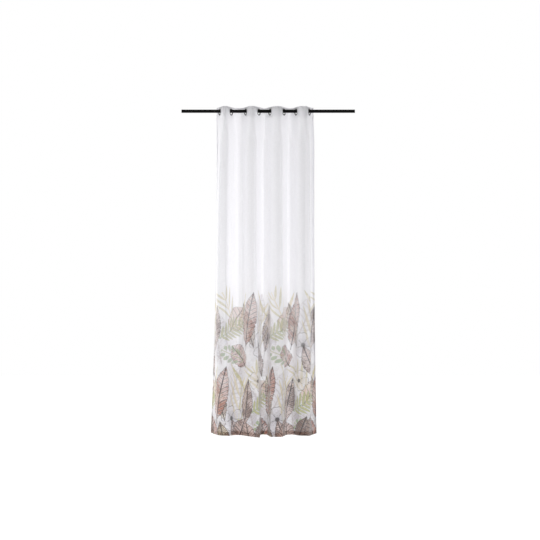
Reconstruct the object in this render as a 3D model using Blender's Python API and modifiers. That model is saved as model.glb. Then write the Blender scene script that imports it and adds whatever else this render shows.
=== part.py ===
"""Sheer eyelet curtain, one panel gathered on a plain round rod.

Metres, +Z up, the curtain's face towards -Y. The origin is the middle of the rod's axis.
A cross section is the line that the cloth follows in plan at one height: it starts at the left
side hem, behind the rod, and runs from fold to fold to the right side hem.
"""

import math

import bmesh
import bpy
from mathutils import Matrix, Vector

# Rod
ROD_DIAMETER = 0.025
ROD_LENGTH = 1.320
ROD_SIDES = 32
ROD_END_BEVEL = 0.001

# Cloth
CLOTH_TOP = 0.0315
CLOTH_DROP = 2.50
CLOTH_THICKNESS = 0.0012
EYELET_SPACING = 0.1815
SIDE_MARGIN = 0.065
TAPE_HEIGHT = 0.080
TAPE_THICKNESS = 0.0010
GAP = 0.0003

# Eyelet rings
RING_BORE_RADIUS = 0.020
RING_NECK_RADIUS = 0.0217
RING_RIM_RADIUS = 0.026
RING_CROWN = 0.0024
RING_STEPS = 20
RING_ROD_CLEARANCE = 0.0008
EYELET_HOLE_RADIUS = 0.0223
EYELET_HEIGHT = ROD_DIAMETER / 2 + RING_ROD_CLEARANCE - RING_BORE_RADIUS

# Where each eyelet sits along the rod, and how far the cloth there leans from straight across it.
EYELETS = (  # x, lean in degrees
    (-0.369, 21),
    (-0.282, 25),
    (-0.171, 22),
    (-0.071, 26),
    (0.014, 24),
    (0.120, 25),
    (0.212, 22),
    (0.313, 21),
)
TURN_FROM_EYELET = 0.045
LEFT_FLARE = math.radians(32)
RIGHT_FLARE = math.radians(60)

# The turns of the hanging cloth below its stiff heading, left to right: where each one is in plan
# at three heights. Turns a and b are the two corners of a fold: front folds f, back folds b.
UPPER_HEIGHT = -0.15
MIDDLE_HEIGHT = -1.36
HEM_HEIGHT = CLOTH_TOP - CLOTH_DROP
FOLDS = (  # turn, x upper, y upper, x middle, y middle, x hem, y hem, lift of the hem
    ("left_edge", -0.395, 0.060, -0.404, 0.075, -0.442, 0.095, 0.008),
    ("left_turn", -0.384, 0.052, -0.398, 0.045, -0.413, 0.045, 0.004),
    ("f1a", -0.357, -0.060, -0.390, -0.052, -0.371, -0.005, 0.0),
    ("f1b", -0.302, -0.058, -0.325, -0.060, -0.295, -0.024, 0.0),
    ("b1a", -0.245, 0.054, -0.253, 0.045, -0.260, 0.024, 0.0),
    ("b1b", -0.200, 0.060, -0.207, 0.055, -0.207, 0.014, 0.0),
    ("f2a", -0.159, -0.058, -0.158, -0.058, -0.158, -0.036, 0.0),
    ("f2b", -0.094, -0.064, -0.093, -0.075, -0.068, -0.098, -0.002),
    ("b2a", -0.047, 0.060, -0.046, 0.062, -0.058, 0.050, 0.0),
    ("b2b", -0.013, 0.056, -0.013, 0.055, -0.011, 0.040, 0.0),
    ("f3a", 0.029, -0.058, 0.029, -0.062, 0.018, -0.074, -0.001),
    ("f3b", 0.105, -0.066, 0.107, -0.075, 0.105, -0.074, 0.0),
    ("b3a", 0.148, 0.060, 0.150, 0.060, 0.142, 0.038, 0.0),
    ("b3b", 0.186, 0.054, 0.188, 0.054, 0.196, 0.042, 0.0),
    ("f4a", 0.223, -0.062, 0.227, -0.060, 0.235, -0.012, 0.0),
    ("f4b", 0.306, -0.060, 0.317, -0.058, 0.315, -0.022, 0.0),
    ("right_turn", 0.303, 0.046, 0.311, 0.044, 0.331, 0.024, 0.0),
    ("right_edge", 0.354, 0.058, 0.355, 0.070, 0.372, 0.092, 0.002),
)
SOFT_TURN = 0.030
CRISP_TURN = 0.010
CRISP_TURNS = ("f1b", "f2b", "f3b", "f4b")  # the right side of each front fold
SHARPEST_SHARE = 0.46
TURN_STEPS = 4

# Heights of the cross sections
HEADING_FOOT = -0.056
SETTLE_LENGTH = 0.22
FIRST_ROWS = (HEADING_FOOT, -0.095, -0.140, -0.200, -0.280)
ROW_STEP = 0.145


def plan_length(points):
    return sum((b - a).length for a, b in zip(points, points[1:]))


def solve(measure, target, low, high):
    """The value between low and high where the growing measure reaches the target."""
    for _ in range(40):
        middle = (low + high) / 2
        if measure(middle) < target:
            low = middle
        else:
            high = middle
    return (low + high) / 2


def soft_turn(before, corner, after, reach):
    """A turn of the cloth: a parabola that leaves one leg and joins the next."""
    start = corner + (before - corner).normalized() * min(
        reach, SHARPEST_SHARE * (before - corner).length
    )
    end = corner + (after - corner).normalized() * min(
        reach, SHARPEST_SHARE * (after - corner).length
    )
    points = []
    for step in range(TURN_STEPS + 1):
        t = step / TURN_STEPS
        points.append(start * (1 - t) ** 2 + corner * 2 * t * (1 - t) + end * t**2)
    return points


def rounded(corners, reaches=None):
    """The line through the corners with each turn made soft, as far from its corner as given."""
    reaches = reaches or [SOFT_TURN] * (len(corners) - 2)
    points = [corners[0]]
    for before, corner, after, reach in zip(corners, corners[1:], corners[2:], reaches):
        points += soft_turn(before, corner, after, reach)
    return points + [corners[-1]]


def wall_direction(number):
    """The way the cloth runs in plan through an eyelet, from left to right along the cloth."""
    lean = math.radians(EYELETS[number][1])
    forward = -1 if number % 2 == 0 else 1
    return Vector((math.sin(lean), forward * math.cos(lean)))


def eyelet_place(number):
    return Vector((EYELETS[number][0], 0.0))


def lobe_corners(number, reach):
    """The two turns between an eyelet and the next, reached by walls of this length."""
    return [
        eyelet_place(number) + wall_direction(number) * reach,
        eyelet_place(number + 1) - wall_direction(number + 1) * reach,
    ]


def lobe_length(number, reach):
    ends = [eyelet_place(number), eyelet_place(number + 1)]
    return plan_length(rounded([ends[0], *lobe_corners(number, reach), ends[1]]))


def heading_corners():
    """The turns of the stiff heading, whose eyelets are evenly spaced along the cloth."""
    last = len(EYELETS) - 1
    strip = SIDE_MARGIN - TURN_FROM_EYELET
    left_turn = eyelet_place(0) - wall_direction(0) * TURN_FROM_EYELET
    right_turn = eyelet_place(last) + wall_direction(last) * TURN_FROM_EYELET
    left_edge = left_turn + Vector((-math.sin(LEFT_FLARE), math.cos(LEFT_FLARE))) * strip
    right_edge = right_turn + Vector((math.sin(RIGHT_FLARE), math.cos(RIGHT_FLARE))) * strip
    corners = [left_edge, left_turn]
    for number in range(last):
        reach = solve(lambda r: lobe_length(number, r), EYELET_SPACING, 0.03, 0.12)
        corners += lobe_corners(number, reach)
    return corners + [right_turn, right_edge]


HEADING = heading_corners()
CLOTH_WIDTH = plan_length(rounded(HEADING))


def through_levels(upper, middle, hem, height):
    """The quadratic curve through the three levels of the fold table, read at a height."""
    a, b, c = UPPER_HEIGHT, MIDDLE_HEIGHT, HEM_HEIGHT
    return (
        upper * (height - b) * (height - c) / ((a - b) * (a - c))
        + middle * (height - a) * (height - c) / ((b - a) * (b - c))
        + hem * (height - a) * (height - b) / ((c - a) * (c - b))
    )


def hanging_corners(height):
    corners = []
    for _, x_upper, y_upper, x_middle, y_middle, x_hem, y_hem, _ in FOLDS:
        x = through_levels(x_upper, x_middle, x_hem, height)
        y = through_levels(y_upper, y_middle, y_hem, height)
        corners.append(Vector((x, y)))
    return corners


def section(height):
    """The cloth's line in plan at a height, as long as the cloth is wide."""
    settled = min(1.0, max(0.0, (HEADING_FOOT - height) / SETTLE_LENGTH))
    settled = settled * settled * (3 - 2 * settled)
    if settled == 0.0:
        return rounded(HEADING)
    corners = [a.lerp(b, settled) for a, b in zip(HEADING, hanging_corners(height))]
    reaches = []
    for turn in FOLDS[1:-1]:
        crisp = settled if turn[0] in CRISP_TURNS else 0.0
        reaches.append(SOFT_TURN + (CRISP_TURN - SOFT_TURN) * crisp)

    def deepened(depth):
        return rounded([Vector((c.x, c.y * depth)) for c in corners], reaches)

    depth = solve(lambda d: plan_length(deepened(d)), CLOTH_WIDTH, 0.5, 2.0)
    return deepened(depth)


def hem_lifts():
    """The lift of each point of the bottom row: each turn's own, and between turns a mean."""
    lifts = [FOLDS[0][-1]]
    for row in FOLDS[1:-1]:
        lifts += [row[-1]] * (TURN_STEPS + 1)
    return lifts + [FOLDS[-1][-1]]


def row_heights():
    heights = [CLOTH_TOP, *FIRST_ROWS]
    count = round((heights[-1] - HEM_HEIGHT) / ROW_STEP)
    step = (heights[-1] - HEM_HEIGHT) / count
    return heights + [heights[-1] - step * (i + 1) for i in range(count)]


def shifted(points, distance):
    """The line moved sideways, towards the cloth's back, with its facets kept parallel."""
    normals = []
    for a, b in zip(points, points[1:]):
        along = (b - a).normalized()
        normals.append(Vector((-along.y, along.x)))
    normals = [normals[0], *normals, normals[-1]]
    moved = []
    for point, one, other in zip(points, normals, normals[1:]):
        mean = one + other
        moved.append(point + mean * (2 * distance / mean.length_squared))
    return moved


def material(name, colour, roughness, metallic=0.0):
    made = bpy.data.materials.new(name)
    made.use_nodes = True
    shader = made.node_tree.nodes["Principled BSDF"]
    shader.inputs["Base Color"].default_value = (*colour, 1.0)
    shader.inputs["Roughness"].default_value = roughness
    shader.inputs["Metallic"].default_value = metallic
    return made


def add_object(name, mesh, collection, parent=None, finish=None):
    made = bpy.data.objects.new(name, mesh)
    collection.objects.link(made)
    made.parent = parent
    if finish:
        mesh.materials.append(finish)
    return made


def sheet_mesh(name, rows):
    """An open sheet through rows of 3-D points."""
    bm = bmesh.new()
    grid = [[bm.verts.new(point) for point in row] for row in rows]
    for upper, lower in zip(grid, grid[1:]):
        for a, b, c, d in zip(upper, lower, lower[1:], upper[1:]):
            bm.faces.new((a, b, c, d))
    mesh = bpy.data.meshes.new(name)
    bm.to_mesh(mesh)
    bm.free()
    return mesh


def thicken_and_punch(sheet, thickness, cutters):
    solid = sheet.modifiers.new("Thickness", "SOLIDIFY")
    solid.thickness = thickness
    solid.offset = 0.0
    solid.use_even_offset = True
    holes = sheet.modifiers.new("Eyelet holes", "BOOLEAN")
    holes.operand_type = "COLLECTION"
    holes.collection = cutters
    holes.operation = "DIFFERENCE"


def across_eyelet(number):
    """Turns +Z to the eyelet's axis, pointing to the cloth's back, and moves to its centre."""
    wall = wall_direction(number)
    back = Vector((-wall.y, wall.x, 0.0))
    turn = Matrix((Vector((wall.x, wall.y, 0.0)), Vector((0.0, 0.0, -1.0)), back)).transposed()
    place = Vector((EYELETS[number][0], 0.0, EYELET_HEIGHT))
    return Matrix.Translation(place) @ turn.to_4x4()


def add_cutters(collection):
    for number in range(len(EYELETS)):
        bm = bmesh.new()
        bmesh.ops.create_cone(
            bm,
            cap_ends=True,
            segments=RING_STEPS,
            radius1=EYELET_HOLE_RADIUS,
            radius2=EYELET_HOLE_RADIUS,
            depth=0.03,
        )
        mesh = bpy.data.meshes.new(f"eyelet_cutter_{number + 1}")
        bm.to_mesh(mesh)
        bm.free()
        cutter = add_object(mesh.name, mesh, collection)
        cutter.matrix_world = across_eyelet(number)
        cutter.hide_render = True
        cutter.display_type = "WIRE"


def add_panel(collection, parent, finish, cutters):
    heights = row_heights()
    rows = [[(p.x, p.y, height) for p in section(height)] for height in heights]
    rows[-1] = [(x, y, z + lift) for (x, y, z), lift in zip(rows[-1], hem_lifts())]
    panel = add_object("curtain_panel", sheet_mesh("curtain_panel", rows), collection, parent, finish)
    thicken_and_punch(panel, CLOTH_THICKNESS, cutters)


def add_tape(collection, parent, finish, cutters):
    line = shifted(section(CLOTH_TOP), (CLOTH_THICKNESS + TAPE_THICKNESS) / 2 + GAP)
    rows = [[(p.x, p.y, height) for p in line] for height in (CLOTH_TOP, CLOTH_TOP - TAPE_HEIGHT)]
    tape = add_object("heading_tape", sheet_mesh("heading_tape", rows), collection, parent, finish)
    thicken_and_punch(tape, TAPE_THICKNESS, cutters)


def ring_profile():
    """Half section of an eyelet ring: two domed flanges on a neck, outer side from top to bottom."""
    back = CLOTH_THICKNESS / 2 + GAP + TAPE_THICKNESS + GAP
    front = -CLOTH_THICKNESS / 2 - GAP
    dome = (  # radius as a share of the flange, height as a share of the crown
        (0.0, 0.25),
        (0.12, 0.75),
        (0.42, 1.0),
        (0.82, 0.75),
        (1.0, 0.30),
        (1.0, 0.0),
    )
    flange = RING_RIM_RADIUS - RING_BORE_RADIUS
    upper = [(RING_BORE_RADIUS + flange * r, back + RING_CROWN * h) for r, h in dome]
    lower = [(RING_BORE_RADIUS + flange * r, front - RING_CROWN * h) for r, h in reversed(dome)]
    return upper + [(RING_NECK_RADIUS, back), (RING_NECK_RADIUS, front)] + lower


def add_rings(collection, parent, finish):
    bm = bmesh.new()
    verts = [bm.verts.new((radius, 0.0, height)) for radius, height in ring_profile()]
    for a, b in zip(verts, verts[1:] + verts[:1]):
        bm.edges.new((a, b))
    mesh = bpy.data.meshes.new("eyelet_ring")
    bm.to_mesh(mesh)
    bm.free()
    mesh.materials.append(finish)
    for number in range(len(EYELETS)):
        ring = add_object(f"eyelet_{number + 1}", mesh, collection, parent)
        ring.matrix_world = across_eyelet(number)
        turn = ring.modifiers.new("Turn", "SCREW")
        turn.steps = RING_STEPS
        turn.render_steps = RING_STEPS
        turn.use_merge_vertices = True
        turn.merge_threshold = 0.0001
        turn.use_smooth_shade = True


def add_rod(collection, parent, finish):
    bm = bmesh.new()
    along_x = Matrix.Rotation(math.radians(90), 4, "Y")
    bmesh.ops.create_cone(
        bm,
        cap_ends=True,
        segments=ROD_SIDES,
        radius1=ROD_DIAMETER / 2,
        radius2=ROD_DIAMETER / 2,
        depth=ROD_LENGTH,
        matrix=along_x,
    )
    mesh = bpy.data.meshes.new("curtain_rod")
    bm.to_mesh(mesh)
    bm.free()
    rod = add_object("curtain_rod", mesh, collection, parent, finish)
    rounding = rod.modifiers.new("End rounding", "BEVEL")
    rounding.width = ROD_END_BEVEL
    rounding.segments = 2
    rounding.limit_method = "ANGLE"
    rounding.angle_limit = math.radians(60)


def main():
    for obj in list(bpy.data.objects):
        bpy.data.objects.remove(obj)
    scene = bpy.context.scene
    parts = bpy.data.collections.new("eyelet_curtain")
    cutters = bpy.data.collections.new("cutters")
    scene.collection.children.link(parts)
    scene.collection.children.link(cutters)
    cutters.hide_render = True

    cloth = material("white_voile", (0.90, 0.90, 0.91), 0.9)
    tape = material("stiff_white_tape", (0.88, 0.88, 0.88), 0.8)
    ring_metal = material("dark_eyelet_metal", (0.03, 0.03, 0.03), 0.35, 1.0)
    black_paint = material("satin_black_paint", (0.01, 0.01, 0.01), 0.4)

    hanger = add_object("curtain_on_rod", None, parts)
    add_cutters(cutters)
    add_panel(parts, hanger, cloth, cutters)
    add_tape(parts, hanger, tape, cutters)
    add_rings(parts, hanger, ring_metal)
    add_rod(parts, hanger, black_paint)


main()
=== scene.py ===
"""A sheer eyelet curtain gathered on a plain black rod, with its studio.

Metres, +Z up, the curtain's face towards -Y. The origin is the middle of the rod's axis. Places on
the cloth are given flat: across from its left side hem, and up from its bottom hem.
"""

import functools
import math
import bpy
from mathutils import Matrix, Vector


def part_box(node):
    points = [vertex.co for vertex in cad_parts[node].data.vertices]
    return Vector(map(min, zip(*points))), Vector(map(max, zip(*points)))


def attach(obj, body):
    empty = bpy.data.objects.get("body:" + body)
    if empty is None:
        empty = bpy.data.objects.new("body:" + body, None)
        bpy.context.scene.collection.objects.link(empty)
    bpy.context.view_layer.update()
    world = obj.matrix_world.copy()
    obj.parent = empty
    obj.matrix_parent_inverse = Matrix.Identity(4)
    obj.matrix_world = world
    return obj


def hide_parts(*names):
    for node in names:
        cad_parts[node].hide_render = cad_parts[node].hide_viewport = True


bl_info = {
    "name": "Sheer Eyelet Curtain",
    "version": (1, 0, 0),
    "blender": (4, 5, 0),
    "location": "3D View > Sidebar > Curtain",
    "description": "Builds a sheer eyelet curtain with a leaf border, its rings, its rod and a studio",
    "category": "Object",
}

import bpy
import numpy as np
from bpy.props import FloatProperty, FloatVectorProperty, IntProperty, PointerProperty
from mathutils import Matrix, Vector

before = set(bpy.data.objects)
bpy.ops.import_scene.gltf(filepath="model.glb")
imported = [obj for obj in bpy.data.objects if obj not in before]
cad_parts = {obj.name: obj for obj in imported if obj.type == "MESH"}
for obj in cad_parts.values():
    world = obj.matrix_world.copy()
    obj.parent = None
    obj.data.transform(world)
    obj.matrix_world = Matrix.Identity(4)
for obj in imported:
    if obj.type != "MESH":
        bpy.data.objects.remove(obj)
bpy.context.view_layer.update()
ROD_LOW, ROD_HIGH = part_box("curtain_rod")
ROD_RADIUS = (ROD_HIGH.z - ROD_LOW.z) / 2
CLOTH_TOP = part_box("curtain_panel")[1].z
TAPE_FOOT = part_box("heading_tape")[0].z
BODY = "root"

# Where each eyelet sits along the rod, and how far the cloth there leans from straight across it.
EYELETS = (  # x, lean in degrees
    (-0.369, 21),
    (-0.282, 25),
    (-0.171, 22),
    (-0.071, 26),
    (0.014, 24),
    (0.120, 25),
    (0.212, 22),
    (0.313, 21),
)
EYELET_SPACING = 0.1815
EYELET_HEIGHT = -0.0067  # the rings hang on the rod, so their centres are below its axis
EYELET_HOLE_RADIUS = 0.0223
SIDE_MARGIN = 0.065  # from the side hem to the first eyelet
TURN_FROM_EYELET = 0.045  # from an end eyelet to the turn beside it
LEFT_FLARE = math.radians(32)
RIGHT_FLARE = math.radians(60)

# The turns of the hanging cloth below its stiff heading, left to right, in plan at three heights.
UPPER_HEIGHT = -0.15
MIDDLE_HEIGHT = -1.36
HEM_HEIGHT = CLOTH_TOP - 2.50
FOLDS = (  # turn, x upper, y upper, x middle, y middle, x hem, y hem, lift of the hem
    ("left_edge", -0.395, 0.060, -0.404, 0.075, -0.442, 0.095, 0.008),
    ("left_turn", -0.384, 0.052, -0.398, 0.045, -0.413, 0.045, 0.004),
    ("f1a", -0.357, -0.060, -0.390, -0.052, -0.371, -0.005, 0.0),
    ("f1b", -0.302, -0.058, -0.325, -0.060, -0.295, -0.024, 0.0),
    ("b1a", -0.245, 0.054, -0.253, 0.045, -0.260, 0.024, 0.0),
    ("b1b", -0.200, 0.060, -0.207, 0.055, -0.207, 0.014, 0.0),
    ("f2a", -0.159, -0.058, -0.158, -0.058, -0.158, -0.036, 0.0),
    ("f2b", -0.094, -0.064, -0.093, -0.075, -0.068, -0.098, -0.002),
    ("b2a", -0.047, 0.060, -0.046, 0.062, -0.058, 0.050, 0.0),
    ("b2b", -0.013, 0.056, -0.013, 0.055, -0.011, 0.040, 0.0),
    ("f3a", 0.029, -0.058, 0.029, -0.062, 0.018, -0.074, -0.001),
    ("f3b", 0.105, -0.066, 0.107, -0.075, 0.105, -0.074, 0.0),
    ("b3a", 0.148, 0.060, 0.150, 0.060, 0.142, 0.038, 0.0),
    ("b3b", 0.186, 0.054, 0.188, 0.054, 0.196, 0.042, 0.0),
    ("f4a", 0.223, -0.062, 0.227, -0.060, 0.235, -0.012, 0.0),
    ("f4b", 0.306, -0.060, 0.317, -0.058, 0.315, -0.022, 0.0),
    ("right_turn", 0.303, 0.046, 0.311, 0.044, 0.331, 0.024, 0.0),
    ("right_edge", 0.354, 0.058, 0.355, 0.070, 0.372, 0.092, 0.002),
)
SOFT_TURN = 0.030  # how far along its two legs a turn is rounded
CRISP_TURN = 0.010
CRISP_TURNS = ("f1b", "f2b", "f3b", "f4b")  # the right side of each front fold
SHARPEST_SHARE = 0.46  # the most of a short leg that a turn takes
TURN_STEPS = 12
HEADING_FOOT = -0.056
SETTLE_LENGTH = 0.22  # from the heading down to the folds of the table
LIFT_LENGTH = 0.35  # how far up the lift of the hem is felt

# Soft creases between the folds: a ridge stands out to the front, a trough sinks to the back.
CREASES = (  # place across at the top, at the hem, half width, depth to the back, from height, to height
    (0.022, 0.026, 0.010, 0.0030, -0.10, -2.47),
    (0.128, 0.132, 0.014, -0.0035, -0.10, -1.60),
    (0.178, 0.168, 0.012, 0.0040, -0.25, -2.20),
    (0.262, 0.250, 0.013, -0.0030, -0.12, -1.20),
    (0.318, 0.326, 0.013, 0.0040, -0.08, -2.47),
    (0.352, 0.346, 0.010, -0.0045, -0.10, -2.00),
    (0.402, 0.410, 0.012, 0.0030, -0.15, -1.90),
    (0.497, 0.503, 0.012, 0.0030, -0.12, -2.47),
    (0.540, 0.530, 0.016, -0.0045, -0.08, -2.47),
    (0.640, 0.628, 0.012, 0.0035, -0.30, -1.70),
    (0.684, 0.692, 0.012, -0.0040, -0.08, -2.30),
    (0.716, 0.724, 0.010, 0.0050, -0.10, -2.47),
    (0.790, 0.776, 0.013, -0.0030, -0.20, -1.50),
    (0.860, 0.868, 0.013, 0.0035, -0.12, -2.47),
    (0.905, 0.896, 0.014, -0.0040, -0.08, -1.90),
    (1.002, 0.990, 0.012, 0.0035, -0.25, -2.20),
    (1.046, 1.052, 0.011, -0.0040, -0.08, -2.00),
    (1.080, 1.088, 0.010, 0.0050, -0.12, -2.47),
    (1.140, 1.150, 0.013, -0.0030, -0.20, -1.60),
    (1.222, 1.214, 0.012, 0.0035, -0.10, -2.47),
    (1.262, 1.270, 0.015, -0.0040, -0.08, -2.10),
    (1.318, 1.324, 0.010, 0.0030, -0.25, -2.47),
    (1.372, 1.368, 0.009, 0.0030, -0.10, -2.30),
)
CREASE_FADE = 0.18

# Layers behind the cloth, and how much smaller than the cloth the tape is cut at its edges.
TAPE_FRONT = 0.0009
TURNOVER_BEHIND = 0.0024
HEM_BEHIND = 0.0008
TAPE_INSET = 0.001
TAPE_TOP = CLOTH_TOP - 0.0008

# Where each turned-back layer starts, from its edge.
TURNOVER_START = 0.0015
HEM_START = 0.0012
SIDE_HEM_START = 0.0010

# The row that rounds an edge: how far it is drawn over, and its share of the layer's depth behind.
TOP_ROUND = (0.0003, 0.75)
HEM_ROUND = (0.0004, 0.70)

# The stitch rows: how far each lies from its edge.
HEM_STITCH_INSET = 0.003
TOP_STITCH_INSET = 0.006
STITCH_END_INSET = 0.004
STITCH_LINE_STEP = 0.002
THREAD_LIE = 0.6  # how far a thread's middle is off the cloth, as a share of its radius
THREAD_TAPER = 0.2  # the share of a stitch over which each end tapers


# ---- the settings ----


def size_setting(name, description, default):
    return FloatProperty(name=name, description=description, default=default, unit="LENGTH")


def share_setting(name, description, default):
    return FloatProperty(name=name, description=description, default=default, subtype="FACTOR")


def colour_setting(name, description, default):
    return FloatVectorProperty(
        name=name, description=description, default=default, subtype="COLOR_GAMMA"
    )


class ClothSettings(bpy.types.PropertyGroup):
    column_step: size_setting("Column step", "Width of one face of the cloth", 0.0039)
    row_step: size_setting("Row step", "Height of one face of the hanging cloth", 0.0118)
    heading_row_step: size_setting("Heading row step", "Height of one face round the eyelets", 0.0040)
    side_hem: size_setting("Side hem", "Cloth turned back at each side", 0.016)
    bottom_hem: size_setting("Bottom hem", "Cloth turned up behind the foot", 0.032)
    top_turnover: size_setting("Top turnover", "Cloth turned over the tape", 0.009)
    colour: colour_setting("Cloth", "Plain voile", (0.955, 0.955, 0.965))
    through: colour_setting("Light through", "Light that crosses the yarn", (0.957, 0.950, 0.9686))
    opacity: share_setting("Opacity", "Share of the voile that is yarn", 0.80)
    glow: share_setting("Light let through", "Share of light that crosses the yarn", 0.40)


class PrintSettings(bpy.types.PropertyGroup):
    repeat_width: size_setting("Repeat width", "Across the cloth", 0.64)
    repeat_height: size_setting("Repeat height", "Each next row is half a width across", 0.56)
    taupe: colour_setting("Taupe", "Grey brown of veins and worn leaves", (0.58, 0.49, 0.45))
    umber: colour_setting("Umber", "Deep brown of the dark leaves", (0.42, 0.31, 0.26))
    dark: colour_setting("Dark", "Near black of the drawn lines", (0.16, 0.11, 0.10))
    rose: colour_setting("Rose", "Pale red brown of the leaves", (0.82, 0.68, 0.63))
    rust: colour_setting("Rust", "Warm brown of the tall leaves", (0.62, 0.38, 0.29))
    olive: colour_setting("Olive", "Yellow green of blades and twigs", (0.70, 0.67, 0.42))
    sage: colour_setting("Sage", "Grey green of the ferns", (0.43, 0.57, 0.39))
    sand: colour_setting("Sand", "Pale yellow of twigs and leaves", (0.84, 0.77, 0.62))
    haze: colour_setting("Haze", "Grey of the wash behind the leaves", (0.72, 0.70, 0.73))
    mist: colour_setting("Mist", "Near white of the petals", (0.87, 0.86, 0.89))


class HeadingSettings(bpy.types.PropertyGroup):
    tape_thickness: size_setting("Tape thickness", "Stiff tape behind the heading", 0.0010)
    tape_colour: colour_setting("Tape", "Stiff white tape", (0.97, 0.97, 0.975))
    tape_glow: share_setting("Light let through", "Share of light that crosses the tape", 0.95)
    stitch_pitch: size_setting("Stitch pitch", "From stitch to stitch", 0.0040)
    stitch_length: size_setting("Stitch length", "Thread seen of each stitch", 0.0030)
    thread_radius: size_setting("Thread radius", "Half the thread's width", 0.00022)
    thread_colour: colour_setting("Thread", "Sewing thread", (0.92, 0.92, 0.92))


class HardwareSettings(bpy.types.PropertyGroup):
    ring_steps: IntProperty(name="Ring steps", description="Facets round a ring", default=48)
    rod_sides: IntProperty(name="Rod sides", description="Facets round the rod", default=64)
    rod_bevel: size_setting("Rod bevel", "Eased edge at each end of the rod", 0.0008)
    plug_wall: size_setting("Tube wall", "Rim of the tube round its end plug", 0.0012)
    ring_colour: colour_setting("Rings", "Black lacquered metal", (0.10, 0.10, 0.105))
    rod_colour: colour_setting("Rod", "Black powder paint", (0.05, 0.05, 0.05))


class StudioSettings(bpy.types.PropertyGroup):
    floor_gap: size_setting("Floor gap", "From the hem down to the floor", 1.20)
    floor_size: size_setting("Floor size", "Each side of the floor", 40.0)
    camera_distance: size_setting("Camera distance", "In front of the rod", 9.823)
    camera_x: size_setting("Camera across", "From the middle of the rod", 0.0137)
    camera_height: size_setting("Camera height", "From the rod's axis", -1.209)
    lens: FloatProperty(name="Lens", description="Focal length in millimetres", default=86.0)
    overhead: FloatProperty(name="Overhead", description="Strength of the light above", default=3.4)
    overhead_spread: FloatProperty(
        name="Overhead spread",
        description="How wide the light from above looks from the floor",
        default=math.radians(35),
        subtype="ANGLE",
    )


# ---- the hanging cloth ----


def distances(line):
    """How far along the line each of its points is."""
    steps = np.linalg.norm(np.diff(line, axis=0), axis=1)
    return np.concatenate([[0.0], np.cumsum(steps)])


def along_line(line, run, places):
    """The points at places along a line, given how far along it each of its own points is."""
    return np.stack([np.interp(places, run, values) for values in line.T], -1)


def solve(measure, target, low, high):
    """The value between low and high where the growing measure reaches the target."""
    for _ in range(40):
        middle = (low + high) / 2
        if measure(middle) < target:
            low = middle
        else:
            high = middle
    return (low + high) / 2


def rounded(corners, reach=SOFT_TURN):
    """The line through the corners, with each turn a parabola from one leg to the next."""
    corners = np.asarray(corners)
    before, corner, after = corners[:-2], corners[1:-1], corners[2:]

    def leg_end(other):
        leg = other - corner
        length = np.linalg.norm(leg, axis=1, keepdims=True)
        return corner + leg / length * np.minimum(reach, SHARPEST_SHARE * length)

    start = leg_end(before)[:, None]
    end = leg_end(after)[:, None]
    t = np.linspace(0.0, 1.0, TURN_STEPS + 1)[None, :, None]
    turns = start * (1 - t) ** 2 + corner[:, None] * 2 * t * (1 - t) + end * t**2
    return np.vstack([corners[:1], turns.reshape(-1, 2), corners[-1:]])


def wall_direction(number):
    """The way the cloth runs in plan through an eyelet, from left to right along the cloth."""
    lean = math.radians(EYELETS[number][1])
    forward = -1 if number % 2 == 0 else 1
    return np.array((math.sin(lean), forward * math.cos(lean)))


def heading_corners():
    """The turns of the stiff heading, whose eyelets are evenly spaced along the cloth."""
    places = [np.array((x, 0.0)) for x, _ in EYELETS]
    ways = [wall_direction(number) for number in range(len(EYELETS))]
    strip = SIDE_MARGIN - TURN_FROM_EYELET
    left_turn = places[0] - ways[0] * TURN_FROM_EYELET
    right_turn = places[-1] + ways[-1] * TURN_FROM_EYELET
    left_edge = left_turn + np.array((-math.sin(LEFT_FLARE), math.cos(LEFT_FLARE))) * strip
    right_edge = right_turn + np.array((math.sin(RIGHT_FLARE), math.cos(RIGHT_FLARE))) * strip
    corners = [left_edge, left_turn]
    for here, there, way, next_way in zip(places, places[1:], ways, ways[1:]):

        def turns(reach):
            return [here + way * reach, there - next_way * reach]

        def run(reach):
            return distances(rounded([here, *turns(reach), there]))[-1]

        corners += turns(solve(run, EYELET_SPACING, low=0.03, high=0.12))
    return np.array(corners + [right_turn, right_edge])


HEADING = heading_corners()
CLOTH_WIDTH = distances(rounded(HEADING))[-1]
CLOTH_DROP = CLOTH_TOP - HEM_HEIGHT


def hanging_corners(height):
    """The turns of the fold table at a height, each on a quadratic curve through its three levels."""
    upper, middle, hem = np.array([row[1:7] for row in FOLDS]).reshape(-1, 3, 2).swapaxes(0, 1)
    a, b, c = UPPER_HEIGHT, MIDDLE_HEIGHT, HEM_HEIGHT
    return (
        upper * (height - b) * (height - c) / ((a - b) * (a - c))
        + middle * (height - a) * (height - c) / ((b - a) * (b - c))
        + hem * (height - a) * (height - b) / ((c - a) * (c - b))
    )


def smooth(share):
    share = np.clip(share, 0.0, 1.0)
    return share * share * (3 - 2 * share)


def cloth_line(height):
    """The cloth's line in plan at a height, as long as the cloth is wide."""
    settled = smooth((HEADING_FOOT - height) / SETTLE_LENGTH)
    if settled == 0.0:
        return rounded(HEADING)
    corners = HEADING * (1 - settled) + hanging_corners(height) * settled
    crisp = np.array([[row[0] in CRISP_TURNS] for row in FOLDS[1:-1]]) * settled
    reach = SOFT_TURN + (CRISP_TURN - SOFT_TURN) * crisp

    def deepened(depth):
        return rounded(corners * (1.0, depth), reach)

    depth = solve(lambda d: distances(deepened(d))[-1], CLOTH_WIDTH, low=0.5, high=2.0)
    return deepened(depth)


def hem_lift(across):
    """How far the bottom edge lifts at each place across the cloth."""
    run = distances(cloth_line(HEM_HEIGHT))
    turns = run[1 + TURN_STEPS // 2 :: TURN_STEPS + 1]
    return np.interp(across, [run[0], *turns, run[-1]], [row[-1] for row in FOLDS])


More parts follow.
